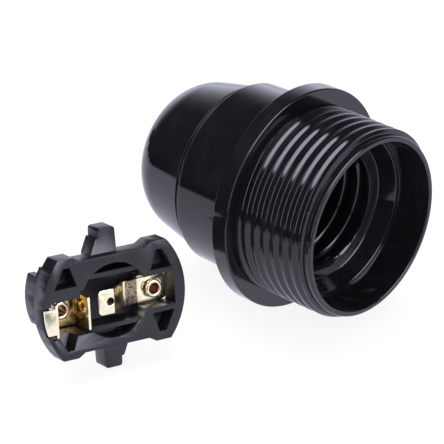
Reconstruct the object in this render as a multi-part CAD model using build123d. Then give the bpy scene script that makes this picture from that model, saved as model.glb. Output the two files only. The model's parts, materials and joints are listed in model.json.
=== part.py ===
from build123d import *
import os
from math import cos, radians, sin, sqrt, tan

# Screw lamp holder, opened: the threaded housing lies level and its contact insert stands beside it.
# Millimetres, +Z up. The origin is the centre of the threaded cable entry, on the end of the cap.
# The housing's axis is Y with the mouth towards -Y, and depths are measured back from the mouth.
# The insert is drawn flat, seen from the lamp: x to the right, y up, z out of its front face.

# Housing lengths along its axis
skirt_length = 18.2
flange_thickness = 3.8
recess_depth = 7.3
shelf_depth = 9.7
lead_in_depth = 1.0
insert_depth = 27.2
insert_play = 0.8
spigot_length = 3.9
cap_length = 18.7

# Housing radii
crest_radius = 20.0
rim_step = 1.05
skirt_wall = 2.4
flange_reach = 3.3
ledge_width = 1.2
lead_in_width = 1.7
sleeve_wall = 2.4
chamber_gap = 0.45
insert_seat_width = 1.15
body_wall = 2.1
cap_step = 1.05
cap_draft_angle = 12.0
dome_radius = 10.5
dome_steps = 4
cap_wall = 2.0
wire_space_radius = 10.6
spigot_wall = 2.15

# Small edges, running gaps and how far a cut runs past the face it opens
edge = 0.35
over = 1.0
rim_width = 1.5
thread_gap = 0.05
seat_gap = 0.05
core_floor = 2.6

# Lamp thread inside the sleeve, E27 size, measured over its crests
lamp_minor_radius = 12.2

# Cable entry, M10 x 1, measured over its crests
entry_minor_radius = 4.46
entry_length = 8.0
entry_boss_wall = 2.6
entry_chamfer = 0.5

# Ribs in the cap that hold the insert's lugs from turning
rib_thickness = 1.5
rib_height = 2.3
rib_length = 9.0
lug_gap = 0.3

# Insert moulding
insert_thickness = 4.2
shoulder_height = 10.2
waist_height = 9.3
waist_half_length = 7.2
shoulder_slope = 1.5
lug_end_gap = 1.5
lug_root_half_width = 2.4
lug_tip_half_width = 1.85
lug_thickness = 1.9
lug_corner = 0.6
gusset_width = 1.3
gusset_height = 3.0
bar_half_height = 6.9
bar_depth = 9.2
wing_inset = 2.4
wing_depth = 12.5
wing_half_height = 5.1
wing_thickness = 1.3

# Insert hollows
rim_wall = 1.9
well_wall = 1.7
well_depth = 5.8
channel_half_height = 4.9
rail_thickness = 0.9
rail_drop = 1.0
pocket_depth = 3.6
pocket_radius = 0.45
web = 1.0
pocket_top_web = 1.8
pocket_low = 4.4
pocket_slant = 1.4
side_pocket_depth = 7.4
side_pocket_left_gap = 0.8
side_pocket_gap = 0.5
terminal_bay_gap = 0.45
terminal_bay_depth = 5.2

# Sheet brass and its rivets
contact_sheet = 0.5
terminal_sheet = 0.8
contact_half_width = 2.5
contact_line = -0.4
tongue_height = -0.8
tongue_left = -3.3
tongue_right = 0.2
ramp_foot = 3.8
contact_end = 2.9
contact_inset = 2.5
contact_corner = 0.9
dimple_hole_radius = 0.8
dimple_hole_x = -0.6
rivet_bore_radius = 1.05
rivet_shank_radius = 1.4
rivet_flange_radius = 1.85
rivet_tail_thickness = 0.35
rivet_head_height = 0.65
contact_play = 0.25

# Side contact
side_line = -1.85
side_half_width = 3.3
side_width = 8.0
side_right_top = -0.6
side_lip_top = 0.25
side_lip_inset = 0.1
side_lip_half_width = 2.6
side_rivet_distance = 4.3
lip_clearance = 0.7
lip_side_gap = 0.4
bend_radius = 0.45

# Terminals and their screws on the back of the insert
terminal_half_width = 2.9
leg_distance = 3.8
leg_to_rivet = 3.0
leg_gap = 0.2
terminal_margin = 2.8
terminal_end = 2.0
barrier_thickness = 0.8
barrier_height = 2.6
screw_thread_radius = 1.5
screw_gap = 0.05
screw_head_radius = 2.7
screw_head_gap = 0.5
screw_head_height = 1.9
screw_slot_width = 0.7
screw_slot_depth = 1.0
wire_space = 1.0
screw_end_space = 0.8
screw_side_space = 0.4

# Where the insert stands beside the housing
insert_x = -45.6
insert_y = -27.0
insert_turn = 15.6
insert_lean = 12.0
insert_roll = 4.0

# Sizes that follow from those above
centre_screw_x = barrier_thickness / 2 + screw_head_gap + screw_head_radius
side_screw_x = -centre_screw_x
centre_leg_x = centre_screw_x + leg_distance
rivet_centre_x = centre_leg_x + leg_to_rivet
contact_right = rivet_centre_x + contact_end
side_left = -contact_right
side_right = side_left + side_width
side_rivet_x = side_left + side_rivet_distance
insert_radius = contact_right + contact_inset
wing_radius = insert_radius - wing_inset
lug_reach = insert_radius - lug_end_gap
well_radius = waist_height - well_wall
terminal_bay_half_height = terminal_half_width + terminal_bay_gap
rim_radius = crest_radius - rim_step
mouth_radius = crest_radius - skirt_wall
flange_radius = crest_radius + flange_reach
flange_back = skirt_length + flange_thickness
shelf_outer_radius = mouth_radius - ledge_width
lead_in_radius = lamp_minor_radius + lead_in_width
sleeve_radius = lamp_minor_radius + sleeve_wall
sleeve_end = insert_depth - insert_play
chamber_radius = insert_radius + chamber_gap
cap_thread_radius = chamber_radius + insert_seat_width
body_radius = cap_thread_radius + body_wall
cap_radius = body_radius - cap_step
seat_depth = insert_depth + insert_thickness
body_end = seat_depth + spigot_length
holder_length = body_end + cap_length
floor_drop = -terminal_bay_depth
terminal_top = floor_drop + terminal_sheet
contact_bottom = terminal_top + contact_play
contact_top = contact_bottom + contact_sheet
flange_bottom = contact_top + contact_play
back_face = -bar_depth
side_floor = -side_pocket_depth
side_bottom = side_floor + contact_play
side_top = side_bottom + contact_sheet
terminal_back = back_face - terminal_sheet


def turned(points):
    """Solid turned about Z from corners given as (radius, depth)."""
    face = make_face(Polyline(*[(r, 0, depth) for r, depth in points], close=True))
    return revolve(face, Axis.Z)


def flat_outline(points, bottom, top):
    """Prism between two heights over an outline of (x, y) corners."""
    face = make_face(Polyline(*points, close=True))
    return Pos(0, 0, bottom) * extrude(face, top - bottom)


def block(x_low, x_high, y_low, y_high, z_low, z_high, corner=0.0):
    """Rectangular block given by its limits, with round upright corners where asked."""
    face = Rectangle(x_high - x_low, y_high - y_low)
    if corner:
        face = fillet(face.vertices(), corner)
    centre = Pos((x_low + x_high) / 2, (y_low + y_high) / 2, z_low)
    return centre * extrude(face, z_high - z_low)


def disc(x, y, radius, z_low, z_high):
    """Round bar along z, standing on z_low."""
    return Pos(x, y, (z_low + z_high) / 2) * Cylinder(radius, z_high - z_low)


# Threaded housing


def threaded_shell():
    """Skirt, flange and body in one moulding, with the lamp's sleeve inside, both threads as their crests."""
    outside = [
        (mouth_radius, 0), (rim_radius, 0), (rim_radius, rim_width), (crest_radius, rim_width + edge),
        (crest_radius, skirt_length), (flange_radius - edge, skirt_length),
        (flange_radius, skirt_length + edge), (flange_radius, flange_back - edge),
        (flange_radius - edge, flange_back), (body_radius, flange_back), (body_radius, body_end),
    ]
    inside = [
        (cap_thread_radius, body_end), (cap_thread_radius, seat_depth), (chamber_radius, seat_depth),
        (chamber_radius, shelf_depth + core_floor), (sleeve_radius, shelf_depth + core_floor),
        (sleeve_radius, sleeve_end), (lamp_minor_radius, sleeve_end),
        (lamp_minor_radius, shelf_depth + lead_in_depth), (lead_in_radius, shelf_depth),
        (shelf_outer_radius, recess_depth), (mouth_radius, recess_depth),
    ]
    return turned(outside + inside)


def dome(front):
    """Drafted wall that rounds into the cap's flat end, the round as short straight steps."""
    draft = radians(cap_draft_angle)
    reach = tan((radians(90) - draft) / 2)
    end_radius = cap_radius - (holder_length - front) * tan(draft)
    corner = min(dome_radius, end_radius / reach, (holder_length - front) / cos(draft) / reach)
    centre_radius, centre_depth = end_radius - corner * reach, holder_length - corner
    angles = [draft + (radians(90) - draft) * step / dome_steps for step in range(dome_steps + 1)]
    points = [(centre_radius + corner * cos(a), centre_depth + corner * sin(a)) for a in angles]
    return turned([(0, front), (cap_radius, front)] + points + [(0, holder_length)])


def end_cap():
    """Domed cap with a threaded spigot, a cable entry and ribs for the insert's lugs."""
    spigot_radius = cap_thread_radius - thread_gap
    spigot_bore = spigot_radius - spigot_wall
    spigot_front = body_end - spigot_length
    rib_end = spigot_front + rib_length
    boss_radius = entry_minor_radius + entry_boss_wall
    boss_front = holder_length - entry_length
    cap = dome(body_end + seat_gap)
    cap += disc(0, 0, spigot_radius, spigot_front, body_end + seat_gap)
    cap -= disc(0, 0, spigot_bore, spigot_front, rib_end + cap_wall)
    cap -= disc(0, 0, wire_space_radius, spigot_front, holder_length - cap_wall)
    cap += disc(0, 0, boss_radius, boss_front, holder_length - cap_wall / 2)
    cap -= disc(0, 0, entry_minor_radius, boss_front, holder_length)
    cap -= turned([(0, holder_length), (entry_minor_radius + entry_chamfer, holder_length),
                   (entry_minor_radius, holder_length - entry_chamfer), (0, holder_length - entry_chamfer)])
    inner = lug_root_half_width + lug_gap
    rib = block(inner, inner + rib_thickness, spigot_bore - rib_height, spigot_bore + spigot_wall / 2,
                spigot_front, rib_end)
    pair = rib + rib.mirror(Plane.YZ)
    return cap + pair + pair.mirror(Plane.XZ)


# Contact insert


def insert_plan():
    """Outline of the insert's face: a disc with raised shoulders and a waist for the lugs."""
    round_face = Circle(insert_radius)
    slope_end = waist_half_length + shoulder_slope
    quarter = [(waist_half_length, waist_height), (slope_end, shoulder_height),
               (insert_radius, shoulder_height)]
    right = quarter + [(x, -y) for x, y in reversed(quarter)]
    left = [(-x, -y) for x, y in right]
    return round_face & make_face(Polyline(*(right + left), close=True))


def lug():
    """Tapered lug above the waist, with a gusset at the left of its foot."""
    bottom, top = -insert_thickness - lug_thickness, -insert_thickness / 2
    shape = flat_outline([(-lug_root_half_width, 0), (lug_root_half_width, 0),
                          (lug_tip_half_width, lug_reach), (-lug_tip_half_width, lug_reach)], bottom, top)
    shape = fillet(shape.edges().filter_by(Axis.Z).sort_by(Axis.Y)[-2:], lug_corner)
    foot = waist_height - web
    return shape + flat_outline([(0, foot), (0, waist_height + gusset_height),
                                 (-lug_root_half_width, waist_height + gusset_height),
                                 (-lug_root_half_width - gusset_width, waist_height),
                                 (-lug_root_half_width - gusset_width, foot)], bottom, top)


def wing(right):
    """Curved wall behind the face that screens one terminal."""
    ring = disc(0, 0, wing_radius, -wing_depth, -insert_thickness / 2)
    ring -= disc(0, 0, wing_radius - wing_thickness, -wing_depth, -insert_thickness / 2)
    reach = block(0, wing_radius, -wing_half_height, wing_half_height, -wing_depth, 0)
    half = ring & reach
    return half if right else half.mirror(Plane.YZ)


def corner_pocket():
    """Tapered blind pocket near the upper right of the face."""
    inner = insert_radius - rim_wall
    high = shoulder_height - pocket_top_web
    left = waist_half_length + web
    points = [(left, pocket_low), (sqrt(inner ** 2 - pocket_low ** 2), pocket_low),
              (sqrt(inner ** 2 - high ** 2), high), (left + pocket_slant, high)]
    return flat_outline(points, -pocket_depth, over)


def carrier_body():
    """Face, rear bar, lugs and wings before anything is hollowed."""
    body = Pos(0, 0, -insert_thickness) * extrude(insert_plan(), insert_thickness)
    bar = disc(0, 0, wing_radius, -bar_depth, -insert_thickness / 2)
    bar &= block(-wing_radius, wing_radius, -bar_half_height, bar_half_height, -bar_depth, 0)
    body += bar
    body += lug() + Rot(0, 0, 180) * lug()
    return body + wing(False) + wing(True)


def contact_carrier():
    """Moulded insert that holds both contacts and their terminals."""
    body = carrier_body()
    body -= disc(0, 0, well_radius, -well_depth, over)
    rail = block(-well_radius, well_radius, channel_half_height, channel_half_height + rail_thickness,
                 -well_depth, -rail_drop)
    body += rail + rail.mirror(Plane.XZ)
    bay_right = sqrt((insert_radius - rim_wall) ** 2 - terminal_bay_half_height ** 2)
    body -= block(-well_radius, bay_right, -terminal_bay_half_height, terminal_bay_half_height,
                  -terminal_bay_depth, over)
    side_reach = side_half_width + side_pocket_gap
    body -= block(side_left - side_pocket_left_gap, side_right + side_pocket_gap, side_line - side_reach,
                  side_line + side_reach, -side_pocket_depth, over, pocket_radius)
    pocket = corner_pocket()
    pockets = pocket + pocket.mirror(Plane.XZ)
    body -= pockets
    body -= pockets.mirror(Plane.YZ)
    body -= lip_notch()
    for x, line in ((rivet_centre_x, contact_line), (side_rivet_x, side_line)):
        body -= disc(x, line, rivet_shank_radius, -wing_depth, over)
        body -= disc(x, line, rivet_flange_radius + contact_play, -wing_depth, back_face)
    body += block(-barrier_thickness / 2, barrier_thickness / 2, -bar_half_height, bar_half_height,
                  back_face - barrier_height, back_face + web / 2)
    body -= leg_slot()
    for x, line in ((centre_screw_x, contact_line), (side_screw_x, side_line)):
        body -= disc(x, line, screw_thread_radius + screw_side_space, back_face, back_face + screw_end_space)
    return body


def lip_notch():
    """Gap in the rim that lets the side contact's lip out."""
    reach = side_lip_half_width + lip_side_gap
    floor = side_lip_top - contact_sheet - lip_clearance
    return block(-insert_radius - over, side_left, side_line - reach, side_line + reach, floor, over)


def leg_slot():
    """Slot through the bar for the centre terminal's leg."""
    half = terminal_half_width + leg_gap
    return block(centre_leg_x - leg_gap, centre_leg_x + terminal_sheet + leg_gap, contact_line - half,
                 contact_line + half, back_face - over, floor_drop + over)


# Brass pieces


def centre_contact():
    """Sprung strip with its foot under the rivet and its tongue on the lamp's axis."""
    top = [(contact_right, contact_top), (ramp_foot, contact_top), (tongue_right, tongue_height),
           (tongue_left, tongue_height)]
    bottom = [(tongue_left, tongue_height - contact_sheet), (tongue_right, tongue_height - contact_sheet),
              (ramp_foot, contact_bottom), (contact_right, contact_bottom)]
    shape = bent_sheet(top + bottom, contact_half_width, contact_line)
    tongue_bends = shape.edges().filter_by(Axis.Y).filter_by_position(Axis.X, tongue_left + over, ramp_foot + over)
    shape = fillet(tongue_bends, bend_radius)
    shape = fillet(shape.edges().filter_by(Axis.Z).sort_by(Axis.X)[:2], contact_corner)
    shape = fillet(shape.edges().filter_by(Axis.Z).sort_by(Axis.X)[-2:], contact_corner / 2)
    shape -= disc(dimple_hole_x, contact_line, dimple_hole_radius, contact_bottom, over)
    return shape - disc(rivet_centre_x, contact_line, rivet_shank_radius + contact_play,
                        contact_bottom - over, contact_top + over)


def bent_sheet(outline, half_width, line):
    """Bent strip from its side outline of (x, z) corners, centred on y = line."""
    face = make_face(Polyline(*[(x, 0, z) for x, z in outline], close=True))
    shape = extrude(face, half_width, dir=(0, 1, 0), both=True)
    return Pos(0, line, 0) * shape


def side_contact():
    """U-shaped sprung contact whose left arm turns out over the rim as a lip."""
    low = side_bottom
    outline = [
        (side_left, low), (side_right, low), (side_right, side_right_top),
        (side_right - contact_sheet, side_right_top), (side_right - contact_sheet, side_top),
        (side_left + contact_sheet, side_top), (side_left + contact_sheet, side_lip_top),
        (side_left - 0.01, side_lip_top), (side_left - 0.01, side_lip_top - contact_sheet),
        (side_left, side_lip_top - contact_sheet),
    ]
    shape = bent_sheet(outline, side_half_width, side_line)
    bends = shape.edges().filter_by(Axis.Y)
    outer = [e for e in bends if abs(e.center().Z - low) < 0.01]
    shape = fillet(outer, bend_radius + contact_sheet / 2)
    inner = [e for e in shape.edges().filter_by(Axis.Y) if abs(e.center().Z - side_top) < 0.01]
    shape = fillet(inner, bend_radius - contact_sheet / 2)
    lip_reach = insert_radius - side_lip_inset
    lip = disc(0, 0, lip_reach, side_lip_top - contact_sheet, side_lip_top)
    lip &= block(-lip_reach, side_left + contact_sheet / 2, side_line - side_lip_half_width,
                 side_line + side_lip_half_width, side_lip_top - contact_sheet, side_lip_top)
    shape += lip
    return shape - disc(side_rivet_x, side_line, rivet_shank_radius + contact_play, side_bottom - over,
                        side_top + over)


def rivet(x, line, head_bottom, tail_top):
    """Tubular rivet with a rolled head on the contact and a flared tail at the back."""
    tail_bottom = tail_top - rivet_tail_thickness
    half = [
        (rivet_bore_radius, tail_bottom), (rivet_flange_radius, tail_bottom), (rivet_flange_radius, tail_top),
        (rivet_shank_radius, tail_top), (rivet_shank_radius, head_bottom),
        (rivet_flange_radius, head_bottom), (rivet_bore_radius, head_bottom + rivet_head_height),
    ]
    return Pos(x, line, 0) * turned(half)


def terminal_screw(x, line):
    """Slotted cheese-head screw, backed off to leave room for a wire under its head."""
    head_top = terminal_back - wire_space
    shank = disc(x, line, screw_thread_radius - screw_gap, head_top, back_face + screw_end_space / 2)
    head = disc(x, line, screw_head_radius, head_top - screw_head_height, head_top)
    slot = block(x - screw_head_radius, x + screw_head_radius, line - screw_slot_width / 2,
                 line + screw_slot_width / 2, head_top - screw_head_height,
                 head_top - screw_head_height + screw_slot_depth)
    return shank + head - slot


def centre_terminal():
    """U-shaped brass terminal: a pad under the contact, a leg through the bar and a screw pad behind."""
    leg_right = centre_leg_x + terminal_sheet
    outline = [
        (contact_right, terminal_top), (centre_leg_x, terminal_top), (centre_leg_x, back_face),
        (centre_screw_x - terminal_margin, back_face), (centre_screw_x - terminal_margin, terminal_back),
        (leg_right, terminal_back), (leg_right, floor_drop), (contact_right, floor_drop),
    ]
    shape = bent_sheet(outline, terminal_half_width, contact_line)
    shape -= disc(rivet_centre_x, contact_line, rivet_shank_radius, floor_drop - over, terminal_top + over)
    return shape - disc(centre_screw_x, contact_line, screw_thread_radius, terminal_back - over,
                        back_face + over)


def side_terminal():
    """Flat brass terminal strip on the back, from the side rivet to its screw."""
    shape = block(side_rivet_x - terminal_end, side_screw_x + terminal_margin, side_line - terminal_half_width,
                  side_line + terminal_half_width, terminal_back, back_face)
    shape -= disc(side_rivet_x, side_line, rivet_shank_radius, terminal_back - over, back_face + over)
    return shape - disc(side_screw_x, side_line, screw_thread_radius, terminal_back - over, back_face + over)


# Placing and writing


def housing_place():
    """Lays the housing's axis along Y with the cable entry at the origin."""
    return Pos(0, -holder_length, 0) * Rot(-90, 0, 0)


def insert_place(lowest):
    """Stands the insert beside the housing; lowest is how far it reaches below its centre."""
    turn = Rot(0, 0, -insert_turn) * Rot(90 - insert_lean, 0, 0) * Rot(0, 0, -insert_roll)
    return Pos(insert_x, insert_y, -flange_radius - lowest) * turn


def main():
    housing = {"threaded_shell": threaded_shell(), "end_cap": end_cap()}
    insert = {
        "contact_carrier": contact_carrier(),
        "centre_contact": centre_contact(),
        "centre_rivet": rivet(rivet_centre_x, contact_line, flange_bottom, back_face),
        "centre_terminal": centre_terminal(),
        "centre_terminal_screw": terminal_screw(centre_screw_x, contact_line),
        "side_contact": side_contact(),
        "side_rivet": rivet(side_rivet_x, side_line, side_top + contact_play, terminal_back),
        "side_terminal": side_terminal(),
        "side_terminal_screw": terminal_screw(side_screw_x, side_line),
    }
    turn = insert_place(0)
    lowest = min((turn * piece).bounding_box().min.Z for piece in insert.values()) + flange_radius
    nodes = {name: housing_place() * piece for name, piece in housing.items()}
    nodes.update({name: insert_place(lowest) * piece for name, piece in insert.items()})
    os.makedirs("parts", exist_ok=True)
    for name, piece in nodes.items():
        export_step(piece, f"parts/{name}.step")


main()
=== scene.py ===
"""Looks of an opened screw lamp holder: a glossy black housing beside its satin contact insert.

Each piece is built in its own sub-assembly's frame in millimetres, as it would be drawn, and then placed in
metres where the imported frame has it. Depths of the housing are measured back from the mouth along its axis.
The insert is drawn flat, seen from the lamp: x to the right, y up, z out of its front face.
"""

import json
import logging
import math
from dataclasses import dataclass
from enum import Enum
from typing import Any, Sequence

import bmesh
import bpy
import numpy as np
from mathutils import Matrix, Vector


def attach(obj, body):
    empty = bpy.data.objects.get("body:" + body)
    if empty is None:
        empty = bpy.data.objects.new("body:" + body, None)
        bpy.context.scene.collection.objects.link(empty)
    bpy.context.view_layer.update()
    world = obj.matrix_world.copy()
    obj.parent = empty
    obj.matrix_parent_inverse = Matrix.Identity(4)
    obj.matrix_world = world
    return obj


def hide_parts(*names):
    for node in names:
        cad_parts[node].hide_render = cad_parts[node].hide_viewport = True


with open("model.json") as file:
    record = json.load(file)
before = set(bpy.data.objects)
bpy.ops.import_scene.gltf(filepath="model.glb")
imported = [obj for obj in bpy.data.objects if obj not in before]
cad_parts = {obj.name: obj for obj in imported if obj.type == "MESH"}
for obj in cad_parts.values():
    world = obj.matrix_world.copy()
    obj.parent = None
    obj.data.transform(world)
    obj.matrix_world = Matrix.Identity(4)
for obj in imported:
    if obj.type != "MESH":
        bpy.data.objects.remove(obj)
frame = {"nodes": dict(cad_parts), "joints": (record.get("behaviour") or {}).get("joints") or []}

LOG = logging.getLogger("lamp_holder")
MM = 0.001
COLUMNS = 240
# Distances in millimetres within which points are merged, then angles in degrees
WELD = 1e-4
CAD_WELD = 0.002
FLAT_ANGLE = 0.6
EDGE_ANGLE = 32.0
Point = tuple[float, float]
Corner = tuple[float, float, float]


class Term:
    """One value in a node tree, used in Python expressions."""

    def __init__(self, graph: "Graph", socket: bpy.types.NodeSocket) -> None:
        """Keeps the tree that the value belongs to."""
        self.graph = graph
        self.socket = socket

    def math(self, operation: str, *others: "Term | float") -> "Term":
        """Adds a Math node with this value first."""
        return self.graph.node("ShaderNodeMath", {"operation": operation}, [self, *others])

    def __add__(self, other: "Term | float") -> "Term":
        """Sum."""
        return self.math("ADD", other)

    __radd__ = __add__

    def __sub__(self, other: "Term | float") -> "Term":
        """Difference."""
        return self.math("SUBTRACT", other)

    def __rsub__(self, other: float) -> "Term":
        """Difference with a number first."""
        return (self * -1.0) + other

    def __mul__(self, other: "Term | float") -> "Term":
        """Product."""
        return self.math("MULTIPLY", other)

    __rmul__ = __mul__

    def __truediv__(self, other: "Term | float") -> "Term":
        """Quotient."""
        return self.math("DIVIDE", other)

    def __abs__(self) -> "Term":
        """Size without sign."""
        return self.math("ABSOLUTE")

    def ramp(self, low: float, high: float) -> "Term":
        """Rises smoothly from 0 at low to 1 at high."""
        settings = {"interpolation_type": "SMOOTHSTEP"}
        return self.graph.node("ShaderNodeMapRange", settings, [self, low, high, 0.0, 1.0])


class Graph:
    """Adds nodes to one node tree, for shaders and for geometry alike."""

    def __init__(self, tree: bpy.types.NodeTree) -> None:
        """Keeps the tree."""
        self.tree = tree

    def feed(self, socket: bpy.types.NodeSocket, value: Any) -> None:
        """Links a term to a socket, or sets the socket's own value."""
        if isinstance(value, Term):
            self.tree.links.new(value.socket, socket)
        else:
            socket.default_value = value

    def node(self, kind: str, settings: dict[str, Any] | None = None,
             inputs: Sequence[Any] | dict[Any, Any] = (), output: int | str = 0) -> Term:
        """Adds one node.

        Args:
            kind: Blender's name for the node type.
            settings: Properties to set first; "stops" fills a colour ramp with (place, colour) pairs.
            inputs: Values or terms for the sockets, in order or by name or number.
            output: The output that the result stands for.

        Returns:
            The chosen output as a term.
        """
        made = self.tree.nodes.new(kind)
        for name, value in (settings or {}).items():
            if name == "stops":
                for stop, (place, colour) in zip(made.color_ramp.elements, value):
                    stop.position, stop.color = place, colour
            else:
                setattr(made, name, value)
        pairs = inputs.items() if isinstance(inputs, dict) else enumerate(inputs)
        for key, value in pairs:
            self.feed(made.inputs[key], value)
        return Term(self, made.outputs[output])

    def outputs(self, term: Term, names: Sequence[int | str]) -> list[Term]:
        """Other outputs of the node that a term comes from."""
        return [Term(self, term.socket.node.outputs[name]) for name in names]

    def split(self, vector: Term) -> list[Term]:
        """The three parts of a vector."""
        return self.outputs(self.node("ShaderNodeSeparateXYZ", inputs=[vector]), "XYZ")

    def rays(self) -> list[Term]:
        """Whether a ray comes from the camera, and whether it is a reflection."""
        return self.outputs(self.node("ShaderNodeLightPath"), ("Is Camera Ray", "Is Glossy Ray"))

    def finish(self, kind: str, result: Term) -> None:
        """Adds the tree's output node and links the result to it."""
        self.feed(self.tree.nodes.new(kind).inputs[0], result)

    def mix(self, factor: Term | float, first: Any, second: Any) -> Term:
        """Blends two colours, given as terms or as (r, g, b)."""
        inputs = {0: factor, 6: first if isinstance(first, Term) else (*first, 1.0),
                  7: second if isinstance(second, Term) else (*second, 1.0)}
        return self.node("ShaderNodeMix", {"data_type": "RGBA"}, inputs, 2)


def shader_graph(owner: bpy.types.Material | bpy.types.World) -> Graph:
    """Empties the node tree of a material or a world and returns it."""
    owner.use_nodes = True
    owner.node_tree.nodes.clear()
    return Graph(owner.node_tree)


def toward(way: Sequence[float], parts: Sequence[Term]) -> Term:
    """How far a vector, given by its parts, points along a fixed direction."""
    total = parts[0] * way[0]
    for part, share in zip(parts[1:], way[1:]):
        total = total + part * share
    return total


# Finishes


@dataclass(frozen=True)
class Finish:
    """Base of every finish: a name, a colour and a roughness."""

    name: str
    colour: tuple[float, float, float]
    roughness: float

    def material(self, local: Matrix) -> bpy.types.Material:
        """Builds the material.

        Args:
            local: Turns a place in the row frame into the sub-assembly's own millimetres.

        Returns:
            The finished material.
        """
        made = bpy.data.materials.new(self.name)
        graph = shader_graph(made)
        place = graph.node("ShaderNodeTexCoord", output="Object")
        turned = graph.node("ShaderNodeMapping", {"vector_type": "POINT"}, {
            "Vector": place, "Location": local.to_translation(), "Rotation": local.to_euler(),
            "Scale": local.to_scale()})
        graph.finish("ShaderNodeOutputMaterial", self.shade(graph, turned))
        return made

    def shade(self, graph: Graph, place: Term) -> Term:
        """Returns the surface shader; place is in the sub-assembly's millimetres."""
        raise NotImplementedError

    def noise(self, graph: Graph, place: Term, size: float, detail: float = 2.0) -> Term:
        """Soft noise from 0 to 1 with blotches of a size in millimetres."""
        inputs = {"Vector": place, "Scale": 1.0 / size, "Detail": detail, "Roughness": 0.55}
        return graph.node("ShaderNodeTexNoise", {"noise_dimensions": "3D"}, inputs)


@dataclass(frozen=True)
class Moulding(Finish):
    """Moulded black phenolic, polished or satin."""

    spread: float
    pale: tuple[float, float, float]
    grain_size: float
    grain_height: float
    ripple_size: float
    ripple_height: float

    def shade(self, graph: Graph, place: Term) -> Term:
        """Black with faint flow marks, a fine grain and the slow ripple of a moulded wall."""
        flow = self.noise(graph, place, 6.0, 4.0).ramp(0.42, 0.72)
        grain = self.noise(graph, place, self.grain_size, 3.0)
        ripple = self.noise(graph, place, self.ripple_size, 1.0)
        fine = graph.node("ShaderNodeBump", inputs={
            "Strength": 1.0, "Distance": self.grain_height * MM, "Height": grain})
        surface = graph.node("ShaderNodeBump", inputs={
            "Strength": 1.0, "Distance": self.ripple_height * MM, "Height": ripple, "Normal": fine})
        rough = self.roughness + (flow + grain) * self.spread
        return graph.node("ShaderNodeBsdfPrincipled", inputs={
            "Base Color": graph.mix(flow, self.colour, self.pale), "Roughness": rough, "Normal": surface,
            "IOR": 1.5})


@dataclass(frozen=True)
class SheetBrass(Finish):
    """Bright rolled brass with streaks along the sheet and duller, tarnished patches.

    Attributes:
        tarnish: Colour of the patches.
        tarnish_amount: Their strength.
        streak: Roughness that the streaks add.
        dull_from: Value of x where a worn band starts.
        dull_to: Value of x where it ends; no band where both are equal.
        shade_from: Value of z where painted shade, a deeper gold, starts down a wall.
        shade_to: Value of z where the painted shade is full; no change where both are equal.
        dull: Colour of the worn band.
        shaded_gold: Colour of the painted shade, a deeper gold.
        fade: Width of each end of the worn band.
    """

    tarnish: tuple[float, float, float]
    tarnish_amount: float
    streak: float
    dull_from: float = 0.0
    dull_to: float = 0.0
    shade_from: float = 0.0
    shade_to: float = 0.0
    dull: tuple[float, float, float] = (0.07, 0.042, 0.025)
    shaded_gold: tuple[float, float, float] = (0.60, 0.40, 0.14)
    fade: float = 0.35

    def shade(self, graph: Graph, place: Term) -> Term:
        """Brass with rolling streaks along x, a worn band across it and painted shade, a deeper gold, down
        its walls.
        """
        stretched = graph.node("ShaderNodeMapping", inputs={"Vector": place, "Scale": (0.12, 1.0, 1.0)})
        streaks = self.noise(graph, stretched, 0.12, 2.0)
        blotch = self.noise(graph, place, 1.5, 5.0).ramp(0.45, 0.75) * self.tarnish_amount
        speck = self.noise(graph, place, 0.35, 3.0)
        rough = self.roughness + streaks * self.streak + blotch * 0.12
        colour = graph.mix(blotch, self.colour, self.tarnish)
        along, _, out = graph.split(place)
        # Painted shade: the brass turns a deeper gold down the walls, where it reflects less light.
        if self.shade_from > self.shade_to:
            painted_shade = 1.0 - out.ramp(self.shade_to, self.shade_from)
            colour = graph.mix(painted_shade * (0.6 + speck * 0.6).math("MINIMUM", 1.0), colour, self.shaded_gold)
        if self.dull_to > self.dull_from:
            band = along.ramp(self.dull_from, self.dull_from + self.fade) * (
                1.0 - along.ramp(self.dull_to - self.fade, self.dull_to))
            worn = band * (0.72 + speck.ramp(0.40, 0.62) * 0.28)
            colour = graph.mix(worn, colour, self.dull)
            rough = rough + worn * 0.30
        surface = graph.node("ShaderNodeBump", inputs={
            "Strength": 1.0, "Distance": 0.004 * MM, "Height": streaks + speck})
        return graph.node("ShaderNodeBsdfPrincipled", inputs={
            "Base Color": colour, "Metallic": 1.0, "Roughness": rough, "Normal": surface})


@dataclass(frozen=True)
class RivetBrass(Finish):
    """Rolled brass tube, copper-brown down its bore and darker there with painted shade."""

    bore: tuple[float, float, float]

    def shade(self, graph: Graph, place: Term) -> Term:
        """Brass that turns brown, darkened by painted shade, where the bore attribute is set."""
        # Painted shade: the bore wall is darker as well as copper-brown.
        bore_shade = graph.node("ShaderNodeAttribute", {"attribute_name": "bore"}, output="Fac")
        spots = self.noise(graph, place, 0.25, 4.0)
        depth = (bore_shade * (0.6 + spots * 0.8)).math("MINIMUM", 1.0)
        surface = graph.node("ShaderNodeBump", inputs={
            "Strength": 1.0, "Distance": 0.006 * MM, "Height": spots})
        return graph.node("ShaderNodeBsdfPrincipled", inputs={
            "Base Color": graph.mix(depth, self.colour, self.bore), "Metallic": 1.0,
            "Roughness": self.roughness + spots * 0.12, "Normal": surface})


@dataclass(frozen=True)
class PlatedSteel(Finish):
    """Bright zinc-plated steel with fine turning marks."""

    worn: tuple[float, float, float]

    def shade(self, graph: Graph, place: Term) -> Term:
        """Grey metal with a soft spangle."""
        spangle = self.noise(graph, place, 0.4, 4.0)
        marks = self.noise(graph, place, 0.08, 1.0)
        surface = graph.node("ShaderNodeBump", inputs={
            "Strength": 1.0, "Distance": 0.004 * MM, "Height": marks})
        return graph.node("ShaderNodeBsdfPrincipled", inputs={
            "Base Color": graph.mix(spangle, self.colour, self.worn), "Metallic": 1.0,
            "Roughness": self.roughness + spangle * 0.15, "Normal": surface})


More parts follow.
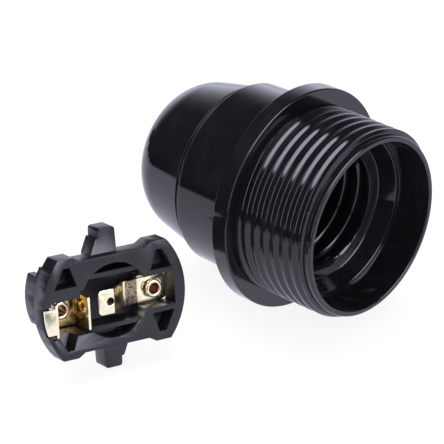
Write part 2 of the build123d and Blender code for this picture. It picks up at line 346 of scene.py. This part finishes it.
HOUSING_BLACK = Moulding(
    "polished_black_phenolic", colour=(0.0045, 0.0045, 0.0058), roughness=0.07, spread=0.03,
    pale=(0.007, 0.007, 0.009), grain_size=0.18, grain_height=0.0012, ripple_size=7.0, ripple_height=0.006)
INSERT_BLACK = Moulding(
    "satin_black_phenolic", colour=(0.004, 0.0042, 0.0055), roughness=0.30, spread=0.09,
    pale=(0.007, 0.0073, 0.0095), grain_size=0.22, grain_height=0.010, ripple_size=4.0, ripple_height=0.02)
CONTACT_BRASS = SheetBrass(
    "pale_contact_brass", colour=(0.98, 0.89, 0.60), roughness=0.16, tarnish=(0.68, 0.56, 0.33),
    tarnish_amount=0.18, streak=0.07, dull_from=4.0, dull_to=7.1)
# The spring's walls take painted shade, a deeper gold, from z -1.9 down to z -3.8.
SIDE_BRASS = SheetBrass(
    "golden_contact_brass", colour=(0.98, 0.91, 0.64), roughness=0.14, tarnish=(0.80, 0.66, 0.40),
    tarnish_amount=0.10, streak=0.04, shade_from=-1.9, shade_to=-3.8)
TERMINAL_BRASS = SheetBrass(
    "terminal_brass", colour=(0.80, 0.64, 0.36), roughness=0.24, tarnish=(0.45, 0.33, 0.18),
    tarnish_amount=0.45, streak=0.14)
# Its bore colour is copper-brown, darkened with painted shade.
RIVET_BRASS = RivetBrass(
    "rolled_rivet_brass", colour=(0.88, 0.76, 0.50), roughness=0.18, bore=(0.34, 0.15, 0.05))
SCREW_STEEL = PlatedSteel(
    "zinc_plated_steel", colour=(0.66, 0.66, 0.63), roughness=0.22, worn=(0.50, 0.50, 0.47))


# Threads


class Side(Enum):
    """The side of the wall that a thread is cut in."""

    OUTSIDE = 1.0
    INSIDE = -1.0


@dataclass(frozen=True)
class Thread:
    """Right-handed helical groove with straight flanks, pressed by a Geometry Nodes tree into a turned wall.

    Attributes:
        zone: Attribute that marks the wall's points.
        side: Side of the wall that the groove is in.
        pitch: Distance between turns.
        crest_radius: Radius of the uncut wall.
        depth: Depth of the groove.
        width: Width of its floor.
        slope: Depth that a flank gains along each millimetre of the axis.
        start: Place on the axis of the groove's centre, at angle zero.
        softness: How far its corners are rounded.
    """

    zone: str
    side: Side
    pitch: float
    crest_radius: float
    depth: float
    width: float
    slope: float
    start: float
    softness: float

    def offsets(self) -> list[float]:
        """Places across one pitch, from the groove's centre, where the section needs a row of points."""
        half, soft = self.pitch / 2, self.softness
        root = self.width / 2
        foot = root + self.depth / self.slope
        inner = [0.0, root - soft, root, root + soft, (root + foot) / 2, foot - soft, foot, foot + soft]
        inner = [value for value in inner if value < half]
        return sorted({*inner, *(-value for value in inner), half})

    def rows(self, low: float, high: float, radius: float) -> list[np.ndarray]:
        """Rows of (radius, depth) that climb with the helix between two depths.

        Args:
            low: Depth where the rows start.
            high: Depth where they end.
            radius: Radius of the blank wall.

        Returns:
            One array of COLUMNS + 1 places for each row.
        """
        turn = np.linspace(0.0, 1.0, COLUMNS + 1)
        count = int((high - low) / self.pitch) + 3
        first = math.floor((low - self.start) / self.pitch) - 1
        bases = [self.start + offset + (first + step) * self.pitch
                 for step in range(count + 1) for offset in self.offsets()]
        rows = []
        for base in bases:
            depth = np.clip(base + self.pitch * turn, low, high)
            if depth.max() > low and depth.min() < high:
                rows.append(np.column_stack([np.full_like(depth, radius), depth]))
        return [ring(radius, low), *rows, ring(radius, high)]


def thread_tree() -> bpy.types.NodeTree:
    """Geometry Nodes tree that presses one helical groove into the points of a zone; its sizes are inputs."""
    tree = bpy.data.node_groups.new("helical_groove", "GeometryNodeTree")
    face = tree.interface
    face.new_socket("Geometry", in_out="OUTPUT", socket_type="NodeSocketGeometry")
    face.new_socket("Geometry", in_out="INPUT", socket_type="NodeSocketGeometry")
    face.new_socket("Zone", in_out="INPUT", socket_type="NodeSocketString")
    for name in ("Side", "Pitch", "Crest Radius", "Depth", "Width", "Slope", "Start", "Softness"):
        face.new_socket(name, in_out="INPUT", socket_type="NodeSocketFloat")
    face.new_socket("Material", in_out="INPUT", socket_type="NodeSocketMaterial")
    graph = Graph(tree)
    source = tree.nodes.new("NodeGroupInput")
    size = {socket.name: Term(graph, socket) for socket in source.outputs if socket.name}
    x, y, z = graph.split(graph.node("GeometryNodeInputPosition"))
    radius = (x * x + y * y).math("SQRT")
    turns = (z - size["Start"]) / size["Pitch"] - y.math("ARCTAN2", x) / (2 * math.pi)
    offset = (turns - turns.math("ROUND")) * size["Pitch"]
    groove = size["Depth"] - (abs(offset) - size["Width"] / 2) * size["Slope"]
    groove = groove.math("SMOOTH_MIN", size["Depth"], size["Softness"])
    clearance = (size["Crest Radius"] - radius) * size["Side"]
    cut = (groove - clearance).math("SMOOTH_MAX", 0.0, size["Softness"])
    share = 1.0 - cut * size["Side"] / radius
    moved = graph.node("ShaderNodeCombineXYZ", inputs=[x * share, y * share, z])
    chosen = graph.node("GeometryNodeInputNamedAttribute", {"data_type": "BOOLEAN"}, [size["Zone"]])
    shaped = graph.node("GeometryNodeSetPosition", inputs=[size["Geometry"], chosen, moved])
    plain = graph.node("GeometryNodeRealizeInstances", inputs=[shaped])
    dressed = graph.node("GeometryNodeSetMaterial", inputs={"Geometry": plain, "Material": size["Material"]})
    graph.finish("NodeGroupOutput", dressed)
    return tree


# Meshes


def ring(radius: float, depth: float, columns: int = COLUMNS) -> np.ndarray:
    """One plain row of (radius, depth)."""
    return np.tile(np.array([radius, depth]), (columns + 1, 1))


def reaches(corners: Sequence[Corner]) -> list[float]:
    """Distances from each corner to the ends of its arc, where arcs that share an edge share its length."""
    points = [Vector(c[:2]) for c in corners]
    wanted = [0.0] * len(points)
    for index in range(1, len(points) - 1):
        angle = (points[index - 1] - points[index]).angle(points[index + 1] - points[index])
        wanted[index] = 0.0 if angle > math.pi - 0.01 else corners[index][2] / math.tan(angle / 2)
    kept = list(wanted)
    for index, (start, end) in enumerate(zip(points, points[1:])):
        both = wanted[index] + wanted[index + 1]
        share = min(1.0, 0.98 * (end - start).length / both) if both else 1.0
        kept[index] = min(kept[index], wanted[index] * share)
        kept[index + 1] = min(kept[index + 1], wanted[index + 1] * share)
    return kept


def rounded(corners: Sequence[Corner], steps: int = 6, support: float = 0.12) -> list[Point]:
    """Rounds the corners of an open outline.

    Args:
        corners: (across, along, corner radius) for each corner; the ends stay sharp.
        steps: Straight pieces in each round corner.
        support: Distance of an added point from each end of a long run, which keeps its shading flat.

    Returns:
        The points of the rounded outline.
    """
    points = [np.array(c[:2], float) for c in corners]
    reach_of = reaches(corners)
    made: list[np.ndarray] = [points[0]]
    for index in range(1, len(points) - 1):
        here, reach = points[index], reach_of[index]
        back, ahead = points[index - 1] - here, points[index + 1] - here
        back_length, ahead_length = np.linalg.norm(back), np.linalg.norm(ahead)
        back, ahead = back / back_length, ahead / ahead_length
        angle = math.acos(max(-1.0, min(1.0, float(back @ ahead))))
        if reach <= 0:
            made.append(here)
            continue
        real = reach * math.tan(angle / 2)
        middle = here + (back + ahead) / np.linalg.norm(back + ahead) * real / math.sin(angle / 2)
        first, last = here + back * reach - middle, here + ahead * reach - middle
        sweep = math.pi - angle
        for step in range(steps + 1):
            share = step / steps
            blend = (math.sin((1 - share) * sweep) * first + math.sin(share * sweep) * last) / math.sin(sweep)
            made.append(middle + blend)
    made.append(points[-1])
    full: list[Point] = []
    for start, end in zip(made, made[1:]):
        length = float(np.linalg.norm(end - start))
        full.append(tuple(start))
        if length > 4 * support:
            way = (end - start) / length
            full += [tuple(start + way * support), tuple(end - way * support)]
    return full + [tuple(made[-1])]


class TurnedSolid:
    """Solid turned about its axis from rows of points, some of which climb along a thread."""

    def __init__(self, name: str, columns: int = COLUMNS) -> None:
        """Starts with no rows."""
        self.name = name
        self.columns = columns
        self.rows: list[np.ndarray] = []
        self.zones: list[str] = []

    def outline(self, corners: Sequence[Corner], zone: str = "", steps: int = 6) -> None:
        """Adds plain rows along a rounded outline of (radius, depth, corner radius)."""
        for radius, depth in rounded(corners, steps):
            self.rows.append(ring(radius, depth, self.columns))
            self.zones.append(zone)

    def thread(self, thread: Thread, low: float, high: float, radius: float) -> None:
        """Adds rows that climb with a thread, from the first depth to the second."""
        rows = thread.rows(min(low, high), max(low, high), radius)
        self.rows += rows if low < high else rows[::-1]
        self.zones += [thread.zone] * len(rows)

    def mesh(self) -> bpy.types.Mesh:
        """Closes the rows into one welded mesh with its normals outwards."""
        angle = np.linspace(0.0, 2 * math.pi, self.columns + 1)
        stack = np.stack(self.rows)
        x, y = stack[:, :, 0] * np.cos(angle), stack[:, :, 0] * np.sin(angle)
        places = np.stack([x, y, stack[:, :, 1]], axis=-1).reshape(-1, 3)
        count, width = len(self.rows), self.columns + 1
        row, column = np.meshgrid(np.arange(count), np.arange(self.columns), indexing="ij")
        after = (row + 1) % count
        faces = np.stack([row * width + column, row * width + column + 1, after * width + column + 1,
                          after * width + column], axis=-1).reshape(-1, 4)
        made = bpy.data.meshes.new(self.name)
        made.from_pydata(places.tolist(), [], faces.tolist())
        for zone in sorted({z for z in self.zones if z}):
            layer = made.attributes.new(zone, "BOOLEAN", "POINT")
            layer.data.foreach_set("value", np.repeat([z == zone for z in self.zones], width))
        work = bmesh.new()
        work.from_mesh(made)
        bmesh.ops.remove_doubles(work, verts=work.verts, dist=WELD)
        bmesh.ops.dissolve_degenerate(work, edges=work.edges, dist=WELD)
        bmesh.ops.recalc_face_normals(work, faces=work.faces)
        work.to_mesh(made)
        work.free()
        return made


def new_object(name: str, mesh: bpy.types.Mesh) -> bpy.types.Object:
    """Puts a mesh in the scene as an object."""
    made = bpy.data.objects.new(name, mesh)
    bpy.context.scene.collection.objects.link(made)
    return made


def applied(obj: bpy.types.Object) -> bpy.types.Object:
    """Turns an object's evaluated form into its own plain mesh and removes its modifiers."""
    bpy.context.view_layer.update()
    graph = bpy.context.evaluated_depsgraph_get()
    mesh = bpy.data.meshes.new_from_object(obj.evaluated_get(graph), depsgraph=graph)
    old = obj.data
    obj.modifiers.clear()
    obj.data = mesh
    bpy.data.meshes.remove(old)
    mesh.name = obj.name
    return obj


def modified(obj: bpy.types.Object, kind: str, **settings: Any) -> bpy.types.Object:
    """Adds one modifier, sets it and applies it."""
    made = obj.modifiers.new(kind.lower(), kind)
    for name, value in settings.items():
        setattr(made, name, value)
    return applied(obj)


def joined(obj: bpy.types.Object, others: Sequence[bpy.types.Object]) -> bpy.types.Object:
    """Joins other objects into one."""
    bpy.ops.object.select_all(action="DESELECT")
    for other in (*others, obj):
        other.select_set(True)
    bpy.context.view_layer.objects.active = obj
    bpy.ops.object.join()
    return obj


def slab(low: Sequence[float], high: Sequence[float], edge: float) -> bpy.types.Object:
    """Block between two corners, with rounded edges, to be joined into a larger moulding."""
    bpy.ops.mesh.primitive_cube_add(size=1.0)
    made = bpy.context.object
    corners = Vector(low), Vector(high)
    made.data.transform(Matrix.LocRotScale((corners[0] + corners[1]) / 2, None, corners[1] - corners[0]))
    return modified(made, "BEVEL", width=edge, segments=3)


def run_tree(obj: bpy.types.Object, tree: bpy.types.NodeTree, values: dict[str, Any]) -> bpy.types.Object:
    """Runs a Geometry Nodes tree on an object and keeps the result as its mesh.

    Args:
        obj: The object whose mesh goes in.
        tree: The tree to run.
        values: Its inputs, by name.

    Returns:
        The same object with its new mesh.
    """
    made = obj.modifiers.new("nodes", "NODES")
    made.node_group = tree
    for item in tree.interface.items_tree:
        if item.item_type == "SOCKET" and item.in_out == "INPUT" and item.name in values:
            made[item.identifier] = values[item.name]
    return applied(obj)


def cut_thread(obj: bpy.types.Object, thread: Thread, tree: bpy.types.NodeTree,
               material: bpy.types.Material) -> bpy.types.Object:
    """Cuts one thread into an object with its tree."""
    return run_tree(obj, tree, {
        "Zone": thread.zone, "Side": thread.side.value, "Pitch": thread.pitch,
        "Crest Radius": thread.crest_radius, "Depth": thread.depth, "Width": thread.width,
        "Slope": thread.slope, "Start": thread.start, "Softness": thread.softness, "Material": material})


def smooth(obj: bpy.types.Object, angle: float) -> None:
    """Shades an object smooth, with creases over an angle in degrees."""
    obj.data.polygons.foreach_set("use_smooth", [True] * len(obj.data.polygons))
    obj.data.set_sharp_from_angle(angle=math.radians(angle))


@dataclass(frozen=True)
class Rest:
    """Where a sub-assembly stands: its own millimetres to the row frame's metres."""

    matrix: Matrix

    def material(self, finish: Finish) -> bpy.types.Material:
        """The material of a finish, made once."""
        return bpy.data.materials.get(finish.name) or finish.material(self.matrix.inverted())

    def dress(self, obj: bpy.types.Object, finish: Finish, body: str, node: str, slot: str,
              crease: float = 35.0) -> bpy.types.Object:
        """Places a finished piece and hands it to the frame.

        Args:
            obj: The piece, in the sub-assembly's millimetres.
            finish: Its finish.
            body: The body that it rides on.
            node: The node that it stands for.
            slot: The record's material slot; not used.
            crease: Angle over which an edge stays sharp.

        Returns:
            The piece.
        """
        obj.data.transform(self.matrix)
        obj.data.materials.clear()
        obj.data.materials.append(self.material(finish))
        smooth(obj, crease)
        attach(obj, body)
        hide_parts(node)
        LOG.info("%s: %d faces, body %s", obj.name, len(obj.data.polygons), body)
        return obj


# Housing


@dataclass
class Housing:
    """Threaded shell and domed cap, turned about one axis. Sizes in millimetres, depths from the mouth."""

    length: float = 54.0
    skirt: float = 18.2
    flange: float = 3.8
    body_end: float = 35.3
    sleeve_front: float = 12.3
    sleeve_end: float = 26.4
    seat: float = 31.4
    rim_radius: float = 18.95
    rim_width: float = 1.5
    rim_chamfer: float = 0.35
    crest_radius: float = 20.0
    flange_radius: float = 23.3
    body_front: float = 19.7
    body_back: float = 19.3
    mouth_radius: float = 17.8
    mouth_round: float = 0.25
    recess: float = 7.5
    recess_radius: float = 17.35
    shelf_front_radius: float = 16.4
    shelf_radius: float = 14.7
    shelf_end: float = 10.9
    throat: float = 11.1
    run_out: float = 1.0
    lamp_radius: float = 12.2
    sleeve_radius: float = 14.6
    sleeve_chamfer: float = 0.3
    chamber_radius: float = 16.25
    cap_thread: float = 17.4
    play: float = 0.05
    spigot: float = 3.9
    spigot_wall: float = 2.15
    wire_radius: float = 10.6
    cap_radius: float = 18.45
    cap_draft: float = 12.0
    cap_wall: float = 2.0
    dome_radius: float = 10.5
    collar_radius: float = 18.75
    collar_front: float = 0.25
    collar_back: float = 0.55
    groove_radius: float = 17.75
    groove_back: float = 1.45
    rib_inner: float = 12.9
    rib_gap: float = 2.7
    rib_thickness: float = 1.5
    rib_length: float = 9.0
    rib_root: float = 1.0
    rib_round: float = 0.15
    entry_radius: float = 4.46
    entry_length: float = 8.0
    entry_chamfer: float = 0.5
    entry_land: float = 0.3
    boss_wall: float = 2.6

    def __post_init__(self) -> None:
        """Works out the placing and the threads."""
        turn = Matrix.Rotation(-math.pi / 2, 4, "X")
        self.rest = Rest(Matrix.Scale(MM, 4) @ Matrix.Translation((0, -self.length, 0)) @ turn)
        self.groove = thread_tree()
        self.ring_thread = Thread(
            "ring_zone", Side.OUTSIDE, pitch=2.5, crest_radius=self.crest_radius, depth=0.65, width=0.6,
            slope=1.0, start=-1.25, softness=0.16)
        self.lamp_thread = Thread(
            "lamp_zone", Side.INSIDE, pitch=3.629, crest_radius=self.lamp_radius, depth=0.75, width=1.2,
            slope=1.7, start=6.071, softness=0.12)
        self.entry_thread = Thread(
            "entry_zone", Side.INSIDE, pitch=1.0, crest_radius=self.entry_radius, depth=0.5, width=0.15,
            slope=1.6, start=45.0, softness=0.03)

    def shell(self) -> bpy.types.Object:
        """Skirt, flange, body and sleeve in one turned and threaded moulding."""
        back = self.skirt + self.flange
        rise = [(0.0, 0.0), (0.2, 0.02), (0.5, 0.15), (self.crest_radius - self.rim_radius, self.rim_chamfer)]
        thread_front, thread_back = self.rim_width + self.rim_chamfer, self.skirt - 0.02
        lamp_front, lamp_back = self.throat + 0.4, self.sleeve_end - self.sleeve_chamfer
        throat_face = [(self.lamp_radius + self.run_out * step / 4, self.throat, 0) for step in range(1, 5)]
        solid = TurnedSolid("shell_moulding")
        solid.outline([(self.mouth_radius, self.mouth_round, 0), (self.mouth_radius, 0, self.mouth_round),
                       (self.rim_radius, 0, 0.4), (self.rim_radius, self.rim_width, 0)])
        solid.outline([(self.rim_radius + out, self.rim_width + along, 0) for out, along in rise],
                      self.ring_thread.zone)
        solid.thread(self.ring_thread, thread_front, thread_back, self.crest_radius)
        solid.outline([(self.crest_radius, thread_back, 0), (self.crest_radius, self.skirt, 0),
                       (self.flange_radius, self.skirt, 0.3), (self.flange_radius, back, 0.2),
                       (self.body_front, back, 0.3), (self.body_back, self.body_end, 0.35),
                       (self.cap_thread, self.body_end, 0.15), (self.cap_thread, self.seat, 0.1),
                       (self.chamber_radius, self.seat, 0.15),
                       (self.chamber_radius, self.sleeve_front, 0.4),
                       (self.sleeve_radius, self.sleeve_front, 0.4),
                       (self.sleeve_radius, self.sleeve_end, 0.3), (self.lamp_radius, self.sleeve_end, 0.2),
                       (self.lamp_radius, lamp_back, 0)])
        solid.thread(self.lamp_thread, lamp_back, lamp_front, self.lamp_radius)
        solid.outline([(self.lamp_radius, lamp_front, 0), (self.lamp_radius, self.throat, 0.15),
                       *throat_face], self.lamp_thread.zone)
        solid.outline([throat_face[-1], (self.shelf_radius, self.shelf_end, 0.35),
                       (self.shelf_front_radius, self.recess + 0.05, 0.25),
                       (self.recess_radius, self.recess, 0.12), (self.mouth_radius, self.mouth_round, 0)])
        made = new_object("shell_moulding", solid.mesh())
        for thread in (self.ring_thread, self.lamp_thread):
            cut_thread(made, thread, self.groove, self.rest.material(HOUSING_BLACK))
        return self.rest.dress(made, HOUSING_BLACK, "shell", "threaded_shell", "housing")

    def cap(self) -> bpy.types.Object:
        """Domed cap with its spigot, its collar at the seam and its threaded cable entry."""
        seam = self.body_end + self.play
        slope = math.tan(math.radians(self.cap_draft))
        collar_front, collar_back = seam + self.collar_front, seam + self.collar_back
        groove_back = seam + self.groove_back
        front_radius = self.cap_radius - self.groove_back * slope
        end_radius = self.cap_radius - (self.length - seam) * slope
        spigot_radius = self.cap_thread - self.play
        bore = spigot_radius - self.spigot_wall
        spigot_front = self.body_end - self.spigot
        step = spigot_front + self.rib_length + self.cap_wall
        inner_end = self.length - self.cap_wall
        boss = self.entry_radius + self.boss_wall
        boss_front = self.length - self.entry_length
        entry_front, entry_back = boss_front + self.entry_land, self.length - self.entry_chamfer
        solid = TurnedSolid("cap_moulding")
        solid.outline([(self.entry_radius, entry_front, 0), (self.entry_radius, boss_front, 0.2),
                       (boss, boss_front, 0.3), (boss, inner_end, 0.5), (self.wire_radius, inner_end, 0.8),
                       (self.wire_radius, step, 0.5), (bore, step, 0.5), (bore, spigot_front, 0.2),
                       (spigot_radius, spigot_front, 0.3), (spigot_radius, collar_front, 0.05),
                       (self.collar_radius, collar_front, 0.15), (self.collar_radius, collar_back, 0.12),
                       (self.groove_radius, collar_back, 0.05), (self.groove_radius, groove_back, 0.05),
                       (front_radius, groove_back, 0.15), (end_radius, self.length, self.dome_radius),
                       (self.entry_radius + self.entry_chamfer, self.length, 0.2),
                       (self.entry_radius, entry_back, 0)], steps=14)
        solid.thread(self.entry_thread, entry_back, entry_front, self.entry_radius)
        made = new_object("cap_moulding", solid.mesh())
        cut_thread(made, self.entry_thread, self.groove, self.rest.material(HOUSING_BLACK))
        joined(made, [self.rib(bore, spigot_front, across, side) for across in (-1, 1) for side in (-1, 1)])
        return self.rest.dress(made, HOUSING_BLACK, "cap", "end_cap", "housing")

    def rib(self, bore: float, front: float, across: int, side: int) -> bpy.types.Object:
        """One guide rib beside a lug, on the wall of the cap's bore."""
        x = sorted((across * self.rib_gap, across * (self.rib_gap + self.rib_thickness)))
        y = sorted((side * self.rib_inner, side * (bore + self.rib_root)))
        return slab((x[0], y[0], front), (x[1], y[1], front + self.rib_length), self.rib_round)


# Contact insert


def insert_rest() -> Rest:
    """Finds where the insert stands from the joints of its contact and screw."""
    joints = {joint["name"]: joint for joint in frame["joints"]}
    up = -Vector(joints["centre_contact_press"]["axis"])
    out = -Vector(joints["centre_screw_turn"]["axis"])
    right = up.cross(out)
    turn = Matrix((right, up, out)).transposed()
    screw = turn @ (Vector(ContactInsert.centre_screw) * MM)
    origin = Vector(joints["centre_screw_turn"]["pos_m"]) - screw
    return Rest(Matrix.LocRotScale(origin, turn.to_quaternion(), (MM, MM, MM)))


@dataclass
class ContactInsert:
    """Moulded carrier with its two contacts, rivets, terminals and screws. Sizes in millimetres."""

    centre_screw = (3.6, -0.4, -10.0)
    carrier_round: float = 0.16
    contact_round: float = 0.06
    metal_round: float = 0.05
    # Sizes of the black blocks that fill the slits, standing in for the shade seen through them
    plug_half_length: float = 3.4
    plug_inner: float = 6.5
    plug_outer: float = 7.7
    plug_back: float = -5.6
    plug_front: float = -4.1
    plug_round: float = 0.1
    rivet_columns: int = 72
    rivet_bore: float = 1.05
    rivet_shank: float = 1.4
    rivet_head: float = 1.85
    rivet_rim: float = 0.65
    rivet_tail: float = 0.35
    bore_fade: float = 0.12

    def __post_init__(self) -> None:
        """Finds the insert's place."""
        self.rest = insert_rest()

    def from_node(self, name: str, node: str, width: float) -> bpy.types.Object:
        """Copies a CAD node's mesh, merges it and rounds its edges.

        Args:
            name: The new piece's name.
            node: The node to copy.
            width: How far each edge is rounded.

        Returns:
            The new piece, in the insert's millimetres.
        """
        mesh = frame["nodes"][node].data.copy()
        mesh.transform(self.rest.matrix.inverted())
        work = bmesh.new()
        work.from_mesh(mesh)
        bmesh.ops.remove_doubles(work, verts=work.verts, dist=CAD_WELD)
        bmesh.ops.dissolve_limit(work, angle_limit=math.radians(FLAT_ANGLE), verts=work.verts,
                                 edges=work.edges)
        work.to_mesh(mesh)
        work.free()
        made = new_object(name, mesh)
        return modified(made, "BEVEL", width=width, segments=2, limit_method="ANGLE",
                        angle_limit=math.radians(EDGE_ANGLE))

    def rivet(self, node: str) -> bpy.types.Object:
        """Turns one tubular rivet with a rolled head, on the axis and between the ends of its CAD node."""
        places = np.array([self.rest.matrix.inverted() @ v.co for v in frame["nodes"][node].data.vertices])
        low, high = places.min(axis=0), places.max(axis=0)
        x, y = (low[:2] + high[:2]) / 2
        head, tail = high[2] - self.rivet_rim, low[2] + self.rivet_tail
        solid = TurnedSolid(f"{node}_tube", self.rivet_columns)
        solid.outline([(self.rivet_bore, low[2], 0), (self.rivet_bore, high[2], 0.28),
                       (self.rivet_head, high[2], 0.3), (self.rivet_head, head, 0.1),
                       (self.rivet_shank, head, 0.05), (self.rivet_shank, tail, 0.05),
                       (self.rivet_head, tail, 0.08), (self.rivet_head, low[2], 0)])
        mesh = solid.mesh()
        radius = np.array([math.hypot(v.co.x, v.co.y) for v in mesh.vertices])
        # The bore attribute marks the bore wall for its copper-brown colour with painted shade.
        bore = mesh.attributes.new("bore", "FLOAT", "POINT")
        share = (self.rivet_bore + self.bore_fade - radius) / self.bore_fade
        bore.data.foreach_set("value", np.clip(share, 0.0, 1.0))
        mesh.transform(Matrix.Translation((x, y, 0)))
        return self.rest.dress(new_object(f"{node}_tube", mesh), RIVET_BRASS, "cap", node, "rivet")

    def shade_plug(self, side: int) -> bpy.types.Object:
        """Black block that fills the slit between the well and the bar, above or below the middle, standing
        in for shade.
        """
        low, high = sorted((side * self.plug_inner, side * self.plug_outer))
        return slab((-self.plug_half_length, low, self.plug_back), (self.plug_half_length, high, self.plug_front),
                    self.plug_round)

    def build(self) -> None:
        """Builds every piece of the insert."""
        carrier = self.from_node("carrier_moulding", "contact_carrier", self.carrier_round)
        # Two black blocks fill the through slits, standing in for the shade that would be seen through them.
        joined(carrier, [self.shade_plug(side) for side in (-1, 1)])
        self.rest.dress(carrier, INSERT_BLACK, "cap", "contact_carrier", "insert")
        for name, node, finish in (("contact_strip", "centre_contact", CONTACT_BRASS),
                                   ("side_spring", "side_contact", SIDE_BRASS)):
            self.rest.dress(self.from_node(name, node, self.contact_round), finish, node, node, "contact")
        self.rivet("centre_rivet")
        self.rivet("side_rivet")
        for node, body, slot, finish in (
                ("centre_terminal", "cap", "terminal", TERMINAL_BRASS),
                ("side_terminal", "cap", "terminal", TERMINAL_BRASS),
                ("centre_terminal_screw", "centre_screw", "screw", SCREW_STEEL),
                ("side_terminal_screw", "side_screw", "screw", SCREW_STEEL)):
            piece = self.from_node(f"{node}_detail", node, self.metal_round)
            self.rest.dress(piece, finish, body, node, slot)


# Studio


def aimed(name: str, data: bpy.types.Camera | bpy.types.Light, place: Sequence[float],
          target: Sequence[float]) -> bpy.types.Object:
    """Adds a camera or a lamp that points from its place at a target."""
    made = bpy.data.objects.new(name, data)
    bpy.context.scene.collection.objects.link(made)
    made.location = place
    made.rotation_euler = (Vector(target) - Vector(place)).to_track_quat("-Z", "Y").to_euler()
    return made


@dataclass
class Studio:
    """White floor, soft lamps, surroundings and camera of a product photograph. Sizes in metres."""

    floor_size: float = 2.4
    floor_centre: float = 0.3
    floor_height: float = -0.0233
    floor_glow: float = 1.05
    floor_reach: float = 0.15
    floor_edge: float = 0.015
    left_reach: float = 0.115
    left_edge: float = 0.02
    shadow_share: float = 0.12
    camera_place: tuple[float, float, float] = (-0.4223, -0.4031, 0.2917)
    camera_target: tuple[float, float, float] = (-0.0199, -0.0317, 0.00094)
    camera_lens: float = 253.0
    cool: tuple[float, float, float] = (0.96, 0.97, 1.16)
    dark: float = 0.03
    behind_glow: float = 1.6
    front_glow: float = 1.2
    strip_glow: float = 6.0
    window_glow: float = 7.0
    fill: float = 0.8

    def floor(self) -> None:
        """White floor with a faint shadow, bright in reflections up to its rear left and its left edge."""
        bpy.ops.mesh.primitive_plane_add(
            size=self.floor_size, location=(self.floor_centre, self.floor_centre, self.floor_height))
        plane = bpy.context.object
        plane.name = "studio_floor"
        made = bpy.data.materials.new("studio_white")
        graph = shader_graph(made)
        seen, glossy = graph.rays()
        x, y = (part + self.floor_centre for part in graph.split(
            graph.node("ShaderNodeTexCoord", output="Object"))[:2])
        rear, left = toward((-0.395, 0.919), (x, y)), toward((-0.97, -0.24), (x, y))
        far = rear.ramp(self.floor_reach, self.floor_reach + self.floor_edge) * (1.0 - x.ramp(0.06, 0.12))
        aside = left.ramp(self.left_reach, self.left_reach + self.left_edge)
        bright = (1.0 - far) * self.floor_glow * (1.0 - aside)
        white = graph.node("ShaderNodeBsdfDiffuse", inputs=[(0.9, 0.9, 0.9, 1)])
        plain = graph.node("ShaderNodeEmission", inputs=[(1, 1, 1, 1), 1.0])
        mirror = graph.node("ShaderNodeEmission", inputs=[(*self.cool, 1), bright])
        camera = graph.node("ShaderNodeMixShader", inputs=[self.shadow_share, plain, white])
        mixed = graph.node("ShaderNodeMixShader", inputs=[glossy, white, mirror])
        shader = graph.node("ShaderNodeMixShader", inputs=[seen, mixed, camera])
        graph.finish("ShaderNodeOutputMaterial", shader)
        plane.data.materials.append(made)

    def surroundings(self) -> None:
        """White to the camera; in reflections four bright areas, behind, front, strip and window, on dark."""
        world = bpy.data.worlds.new("studio")
        bpy.context.scene.world = world
        graph = shader_graph(world)
        x, y, z = graph.split(graph.node("ShaderNodeTexCoord", output="Generated"))
        low = 1.0 - z.ramp(0.08, 0.70)
        level = 1.0 - abs(z - 0.05).ramp(0.22, 0.34)
        behind = toward((0.85, 0.53), (x, y)).ramp(0.5, 0.95) * low
        front = toward((0.20, -0.98), (x, y)).ramp(0.86, 0.95) * level
        strip = (1.0 - abs(y + 0.03).ramp(0.08, 0.16)) * (x * -1.0).ramp(0.3, 0.5)
        window = toward((0.05, -0.72, 0.69), (x, y, z)).ramp(0.88, 0.92)
        mirrored = (self.dark + behind * self.behind_glow + front * self.front_glow + strip * self.strip_glow
                    + window * self.window_glow)
        seen, glossy = graph.rays()
        total = seen + (1.0 - seen) * (glossy * mirrored + (1.0 - glossy) * self.fill)
        tint = graph.mix(glossy, (1.0, 1.0, 1.0), self.cool)
        graph.finish("ShaderNodeOutputWorld", graph.node("ShaderNodeBackground", inputs=[tint, total]))

    def lamp(self, name: str, place: Sequence[float], size: float, power: float) -> None:
        """Adds one square soft lamp over the object, which reflections don't show; power in watts."""
        data = bpy.data.lights.new(name, "AREA")
        data.size, data.energy = size, power
        aimed(name, data, place, (0, 0, 0)).visible_glossy = False

    def camera(self) -> None:
        """Camera at the photograph's viewing angle."""
        data = bpy.data.cameras.new("camera")
        data.lens, data.sensor_width = self.camera_lens, 36.0
        data.clip_start, data.clip_end = 0.01, 20.0
        bpy.context.scene.camera = aimed("camera", data, self.camera_place, self.camera_target)

    def build(self) -> None:
        """Sets up the whole studio."""
        bpy.context.scene.view_settings.view_transform = "Standard"
        self.floor()
        self.surroundings()
        self.lamp("top_softbox", (0.1, 0.25, 0.7), 0.8, 9.0)
        self.lamp("left_softbox", (-0.6, -0.5, 0.5), 0.6, 5.0)
        self.camera()


def main() -> None:
    """Builds the studio and the two sub-assemblies."""
    logging.basicConfig(level=logging.INFO, format="%(message)s")
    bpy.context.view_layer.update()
    Studio().build()
    housing = Housing()
    housing.shell()
    housing.cap()
    ContactInsert().build()


if __name__ == "__main__":
    main()
